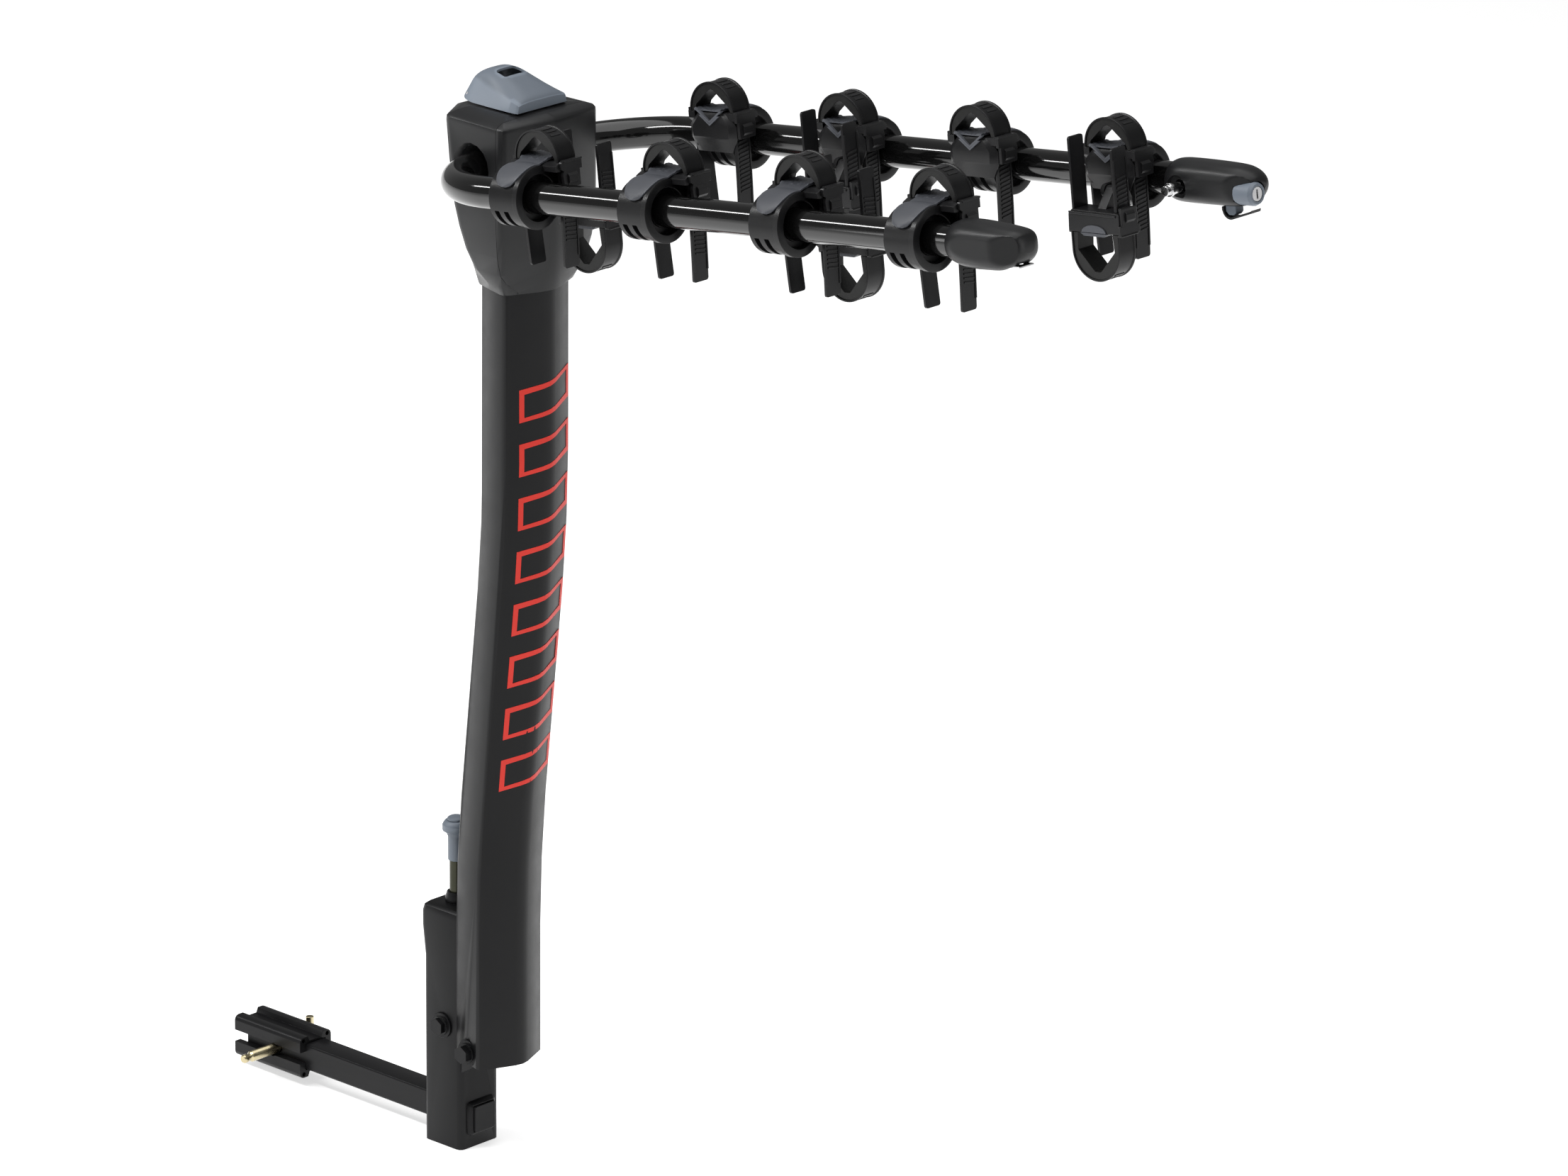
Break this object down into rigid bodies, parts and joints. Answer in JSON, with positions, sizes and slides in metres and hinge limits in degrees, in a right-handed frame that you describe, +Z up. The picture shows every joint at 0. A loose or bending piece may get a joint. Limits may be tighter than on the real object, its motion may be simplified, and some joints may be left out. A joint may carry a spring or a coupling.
{
  "type": "hitch mounted bike rack",
  "caption": "Hanging bike rack that slides into a tow hitch receiver: tilting mast, folding U-shaped arm tube, strap cradles with anti-sway cradles.",
  "frame": {"origin": "centre of the front end face of the shank bar", "axes": "+X runs rearward along the shank, away from the vehicle; +Y across the vehicle, to the side of the arm with the lock; +Z up"},
  "size_m": [1.3772, 0.403, 1.3568],
  "materials": {
    "satin_black_steel": "satin black powder coat with a fine grain",
    "gloss_black_steel": "smooth gloss black powder coat",
    "case_plastic": "moulded black plastic, fine texture",
    "cradle_plastic": "black moulded nylon and rubber, matte",
    "pad_rubber": "dark grey soft rubber",
    "blue_grey_plastic": "blue-grey moulded plastic, fine texture",
    "zinc_steel": "yellow zinc plate",
    "bright_steel": "bright plated steel",
    "plain_steel": "plain zinc plated steel",
    "olive_steel": "dark olive plated rod"
  },
  "bodies": {
    "base": {"shank_bar": "satin_black_steel", "base_post": "satin_black_steel", "pivot_bracket": "satin_black_steel", "hitch_adapter_upper": "satin_black_steel", "hitch_adapter_lower": "satin_black_steel", "latch_bolt": "satin_black_steel", "pivot_bolt": "satin_black_steel", "release_spring": "plain_steel"},
    "hitch_pin": {"hitch_pin": "zinc_steel"},
    "release": {"release_rod": "olive_steel", "release_knob": "blue_grey_plastic", "knob_cap": "blue_grey_plastic"},
    "mast": {"mast_tube": "satin_black_steel", "head_cover_front": "case_plastic", "head_cover_rear": "case_plastic", "head_frame": "plain_steel", "fold_lever_pin": "plain_steel"},
    "fold_lever": {"fold_lever": "blue_grey_plastic", "fold_pawl": "bright_steel"},
    "arms": {"arm_tube": "gloss_black_steel", "fold_ratchet": "plain_steel", "near_end_cap": "case_plastic", "bottle_opener": "bright_steel", "far_end_cap": "case_plastic", "lock_housing": "blue_grey_plastic", "cap_hook": "case_plastic", "cradle_near_1_body": "cradle_plastic", "cradle_near_1_pad": "pad_rubber", "cradle_near_2_body": "cradle_plastic", "cradle_near_2_pad": "pad_rubber", "cradle_near_3_body": "cradle_plastic", "cradle_near_3_pad": "pad_rubber", "cradle_near_4_body": "cradle_plastic", "cradle_near_4_pad": "pad_rubber", "cradle_far_1_body": "cradle_plastic", "cradle_far_1_pad": "pad_rubber", "cradle_far_2_body": "cradle_plastic", "cradle_far_2_pad": "pad_rubber", "cradle_far_3_body": "cradle_plastic", "cradle_far_3_pad": "pad_rubber", "cradle_far_4_body": "cradle_plastic", "cradle_far_4_pad": "pad_rubber"},
    "lock_core": {"lock_core": "bright_steel"},
    "cable_plug": {"cable_plug": "bright_steel"},
    "strap_near_1": {"cradle_near_1_strap": "cradle_plastic"},
    "antisway_near_1": {"antisway_near_1_body": "cradle_plastic"},
    "antisway_strap_near_1": {"antisway_near_1_strap": "cradle_plastic"},
    "strap_near_2": {"cradle_near_2_strap": "cradle_plastic"},
    "strap_near_3": {"cradle_near_3_strap": "cradle_plastic"},
    "antisway_near_3": {"antisway_near_3_body": "cradle_plastic"},
    "antisway_strap_near_3": {"antisway_near_3_strap": "cradle_plastic"},
    "strap_near_4": {"cradle_near_4_strap": "cradle_plastic"},
    "strap_far_1": {"cradle_far_1_strap": "cradle_plastic"},
    "strap_far_2": {"cradle_far_2_strap": "cradle_plastic"},
    "antisway_far_2": {"antisway_far_2_body": "cradle_plastic"},
    "antisway_strap_far_2": {"antisway_far_2_strap": "cradle_plastic"},
    "strap_far_3": {"cradle_far_3_strap": "cradle_plastic"},
    "strap_far_4": {"cradle_far_4_strap": "cradle_plastic"},
    "antisway_far_4": {"antisway_far_4_body": "cradle_plastic"},
    "antisway_strap_far_4": {"antisway_far_4_strap": "cradle_plastic"}
  },
  "joints": [
    {"name": "mast_tilt", "type": "hinge", "parent": "base", "child": "mast", "pos_m": [0.395, 0, 0.096], "axis": [0, 1, 0], "range_deg": [0, 40]},
    {"name": "release_pull", "type": "slide", "parent": "base", "child": "release", "axis": [0, 0, 1], "range_m": [0, 0.022], "stiffness_N_per_m": 900, "springref_m": -0.01, "deforming": ["release_spring"]},
    {"name": "arm_fold", "type": "hinge", "parent": "mast", "child": "arms", "pos_m": [0.432, 0, 1.1537], "axis": [0, 1, 0], "range_deg": [0, 97]},
    {"name": "fold_lever_lift", "type": "hinge", "parent": "mast", "child": "fold_lever", "pos_m": [0.385, 0, 1.2202], "axis": [0, -1, 0], "range_deg": [0, 15], "stiffness_Nm_per_rad": 6, "springref_deg": -6.88},
    {"name": "lock_core_turn", "type": "hinge", "parent": "arms", "child": "lock_core", "pos_m": [1.35686, 0.158, 1.26627], "axis": [0.9918, 0, 0.1277], "range_deg": [0, 90]},
    {"name": "cable_plug_pull", "type": "slide", "parent": "arms", "child": "cable_plug", "axis": [0, -1, 0], "range_m": [0, 0.03]},
    {"name": "hitch_pin_pull", "type": "slide", "parent": "base", "child": "hitch_pin", "axis": [0, 1, 0], "range_m": [0, 0.07]},
    {"name": "strap_near_1_lift", "type": "slide", "parent": "arms", "child": "strap_near_1", "axis": [-0.1277, 0, 0.9918], "range_m": [0, 0.03]},
    {"name": "antisway_near_1_swing", "type": "hinge", "parent": "arms", "child": "antisway_near_1", "pos_m": [0.62952, -0.11, 1.1741], "axis": [0.9918, 0, 0.1277], "range_deg": [-10, 10]},
    {"name": "antisway_strap_near_1_slide", "type": "slide", "parent": "antisway_near_1", "child": "antisway_strap_near_1", "axis": [0.1277, 0, -0.9918], "range_m": [0, 0.03]},
    {"name": "strap_near_2_lift", "type": "slide", "parent": "arms", "child": "strap_near_2", "axis": [-0.1277, 0, 0.9918], "range_m": [0, 0.03]},
    {"name": "strap_near_3_lift", "type": "slide", "parent": "arms", "child": "strap_near_3", "axis": [-0.1277, 0, 0.9918], "range_m": [0, 0.03]},
    {"name": "antisway_near_3_swing", "type": "hinge", "parent": "arms", "child": "antisway_near_3", "pos_m": [1.01352, -0.11, 1.22356], "axis": [0.9918, 0, 0.1277], "range_deg": [-10, 10]},
    {"name": "antisway_strap_near_3_slide", "type": "slide", "parent": "antisway_near_3", "child": "antisway_strap_near_3", "axis": [0.1277, 0, -0.9918], "range_m": [0, 0.03]},
    {"name": "strap_near_4_lift", "type": "slide", "parent": "arms", "child": "strap_near_4", "axis": [-0.1277, 0, 0.9918], "range_m": [0, 0.03]},
    {"name": "strap_far_1_lift", "type": "slide", "parent": "arms", "child": "strap_far_1", "axis": [-0.1277, 0, 0.9918], "range_m": [0, 0.03]},
    {"name": "strap_far_2_lift", "type": "slide", "parent": "arms", "child": "strap_far_2", "axis": [-0.1277, 0, 0.9918], "range_m": [0, 0.03]},
    {"name": "antisway_far_2_swing", "type": "hinge", "parent": "arms", "child": "antisway_far_2", "pos_m": [0.82152, 0.11, 1.19883], "axis": [0.9918, 0, 0.1277], "range_deg": [-10, 10]},
    {"name": "antisway_strap_far_2_slide", "type": "slide", "parent": "antisway_far_2", "child": "antisway_strap_far_2", "axis": [0.1277, 0, -0.9918], "range_m": [0, 0.03]},
    {"name": "strap_far_3_lift", "type": "slide", "parent": "arms", "child": "strap_far_3", "axis": [-0.1277, 0, 0.9918], "range_m": [0, 0.03]},
    {"name": "strap_far_4_lift", "type": "slide", "parent": "arms", "child": "strap_far_4", "axis": [-0.1277, 0, 0.9918], "range_m": [0, 0.03]},
    {"name": "antisway_far_4_swing", "type": "hinge", "parent": "arms", "child": "antisway_far_4", "pos_m": [1.20552, 0.11, 1.24829], "axis": [0.9918, 0, 0.1277], "range_deg": [-10, 10]},
    {"name": "antisway_strap_far_4_slide", "type": "slide", "parent": "antisway_far_4", "child": "antisway_strap_far_4", "axis": [0.1277, 0, -0.9918], "range_m": [0, 0.03]}
  ]
}
